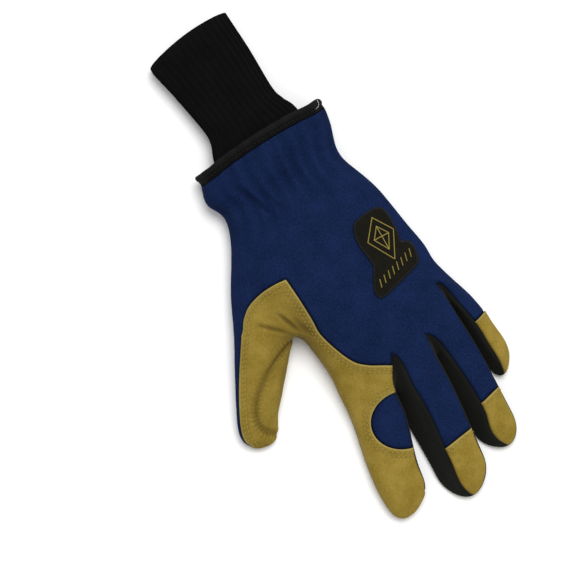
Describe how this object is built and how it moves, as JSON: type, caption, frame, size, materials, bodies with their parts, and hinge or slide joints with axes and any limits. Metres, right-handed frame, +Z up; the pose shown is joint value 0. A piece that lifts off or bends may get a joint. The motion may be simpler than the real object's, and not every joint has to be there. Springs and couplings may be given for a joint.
{
  "type": "insulated work glove",
  "caption": "Left-hand insulated work glove lying palm down: leather palm, thumb, index and fingertips, stretch cloth back, dark strips between the fingers and a ribbed knit wrist.",
  "frame": {"origin": "middle of the glove's bounding box, on the surface it lies on", "axes": "+Z up out of the back of the hand, -Y towards the fingertips, +Y towards the wrist, -X towards the thumb"},
  "size_m": [0.1802, 0.3572, 0.0375],
  "materials": {
    "back_cloth": "matt stretch cloth",
    "window_cloth": "matt stretch cloth",
    "saddle_leather": "matt grain leather",
    "thumb_leather": "matt grain leather",
    "palm_leather": "matt grain leather",
    "cap_leather": "matt grain leather",
    "strip_cloth": "matt cloth",
    "wrist_cloth": "matt cloth",
    "binding_tape": "matt woven tape",
    "rib_knit": "matt rib knit",
    "label_cloth": "woven patch"
  },
  "bodies": {
    "root": {"back_panel": "back_cloth", "index_window": "window_cloth", "saddle": "saddle_leather", "thumb_front": "thumb_leather", "palm": "palm_leather", "cap_middle": "cap_leather", "cap_ring": "cap_leather", "cap_little": "cap_leather", "fourchette_index_middle": "strip_cloth", "fourchette_middle_ring": "strip_cloth", "fourchette_ring_little": "strip_cloth", "wrist_panel": "wrist_cloth", "cuff_binding": "binding_tape", "knit_wrist": "rib_knit", "label_patch": "label_cloth"}
  },
  "joints": []
}
